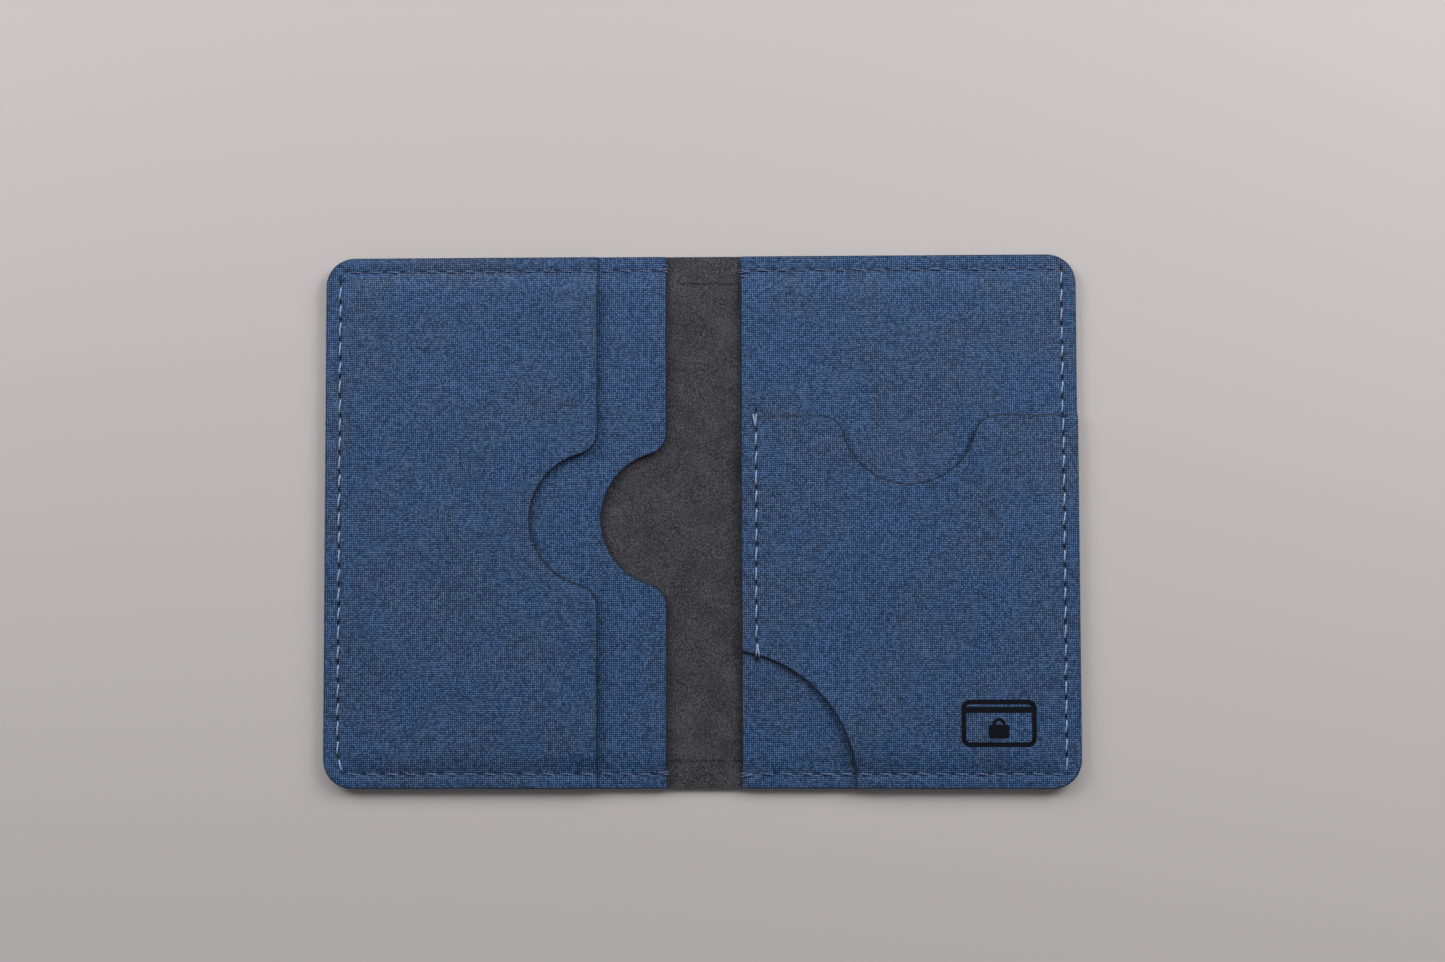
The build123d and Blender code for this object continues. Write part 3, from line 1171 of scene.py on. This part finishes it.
def folding_skins(layer, outlines, under, over, materials, seams, coated):
    """One layer of the cover in two halves that meet on the spine, each meshed finely across its fold line.
    """
    for name, fold_x, bodies, nodes in (
        ("left", left_fold, ("left_cover", "spine"), ("left", "spine")),
        ("right", right_fold, ("spine", "right_cover"), ("right",)),
    ):
        own_seams = [s for s in seams if (s is left_seam) == (name == "left")]
        piece = sheet_piece(
            f"{layer}_skin_{name}", outlines[name], under, over, materials, own_seams, fold_x, coated
        )
        declare([f"{layer}_{n}" for n in nodes])
        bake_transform(piece)


pages = {"left": left_page(0.0), "right": right_page(0.0)}
foils = {"left": foil(-1), "right": foil(1)}
folding_skins(
    "outer_cover", pages, cover_underside, flat_at(cover_top - layer_gap), [cover_fabric, backing],
    [left_seam, right_seam], LOW,
)
folding_skins(
    "shield", foils, flat_at(cover_top), flat_at(foil_top), [shield_foil, shield_foil],
    [], HIGH,
)
folding_skins(
    "lining", pages, flat_at(foil_top + layer_gap), lining_face, [lining_suede, lining_suede],
    [], HIGH,
)

for node, outline, under, over, seams, body, rests_on in (
    ("left_rear_sleeve", left_sleeve(left_mouth, notch_depth_rear), rear_under, rear_face, [left_seam],
     "left_cover", "lining_skin_left"),
    ("left_front_sleeve", left_sleeve(front_mouth, notch_depth_front), front_under, front_face, [left_seam],
     "left_cover", "left_rear_sleeve_sheet"),
    ("right_sleeve", right_page(right_mouth), right_under, right_face, [right_seam, pocket_seam],
     "right_cover", "lining_skin_right"),
    ("card_pocket", card_pocket(), pocket_under, pocket_face, [right_seam, pocket_seam],
     "right_cover", "right_sleeve_sheet"),
):
    piece = sheet_piece(f"{node}_sheet", outline, under, over, [sleeve_fabric, backing], seams)
    declare([node])
    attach(piece, body)

for side, seam, surface, kind, body, thickness, flip in (
    ("left", left_seam, left_surface, "needle_thread", "left_cover", 1.0, 1),
    ("right", right_seam, right_surface, "needle_thread", "right_cover", 1.0, 1),
    ("pocket", pocket_seam, right_surface, "needle_thread", "right_cover", 1.0, 1),
    ("left", left_seam, flat_at(bobbin_height), "bobbin_thread", "left_cover", 0.8, -1),
    ("right", right_seam, flat_at(bobbin_height), "bobbin_thread", "right_cover", 0.8, -1),
    ("pocket", pocket_seam, right_under, "bobbin_thread", "right_cover", 0.5, -1),
):
    node = f"{side}_{kind}"
    piece = thread_piece(f"{node}_stitches", seam, surface, threads[kind], thickness, flip, tacked=flip > 0)
    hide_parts(node)
    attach(piece, body)

mark = pictogram(print_ink)
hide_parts("printed_mark")
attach(mark, "right_cover")


# ---------------------------------------------------------------- stage, light and camera
def floor():
    """A plain pale table top, a hair under the page."""
    reach, level = 3.0, -layer_gap * MM
    corners = [(-reach, -reach), (reach, -reach), (reach, reach), (-reach, reach)]
    mesh = bpy.data.meshes.new("floor")
    mesh.from_pydata([(x, y, level) for x, y in corners], [], [range(4)])
    tree = Tree("floor")
    tree.set(Base_Color=(0.60, 0.56, 0.555, 1), Roughness=0.9, Specular_IOR_Level=0.2)
    mesh.materials.append(tree.material)
    placed("floor", mesh)


def softbox(name, place, power, size):
    """A square lamp that faces the middle of the page."""
    lamp = bpy.data.lights.new(name, "AREA")
    lamp.energy = power
    lamp.size = size
    holder = placed(name, lamp)
    holder.location = place
    holder.rotation_euler = (-Vector(place)).to_track_quat("-Z", "Y").to_euler()


def surroundings(strength):
    """Even light from all round."""
    world = bpy.data.worlds.new("studio")
    world.use_nodes = True
    background = world.node_tree.nodes["Background"]
    background.inputs["Color"].default_value = (0.97, 0.98, 1.0, 1)
    background.inputs["Strength"].default_value = strength
    bpy.context.scene.world = world


def overhead_camera():
    """Looks down almost straight, from a little in front."""
    distance = 0.5
    lens = 47.0
    target = Vector((5.94, 10.6, 0)) * MM
    heading, elevation, roll = (math.radians(angle) for angle in (27.38, 86.95, -27.57))
    turned = (
        Matrix.Rotation(heading, 4, "Z")
        @ Matrix.Rotation(math.pi / 2 - elevation, 4, "X")
        @ Matrix.Rotation(roll, 4, "Z")
    )
    data = bpy.data.cameras.new("camera")
    data.lens = lens
    data.clip_start = 0.01
    camera = placed("camera", data)
    camera.matrix_world = Matrix.Translation(target + turned @ Vector((0, 0, distance))) @ turned
    bpy.context.scene.camera = camera


floor()
surroundings(0.15)
softbox("left_softbox", (-0.6, 0.5, 0.42), 4.2, 0.45)
softbox("right_softbox", (0.6, 0.5, 0.42), 5.3, 0.45)
softbox("back_softbox", (0.0, 0.95, 0.75), 3.9, 0.9)
overhead_camera()
bpy.context.scene.view_settings.view_transform = "Standard"
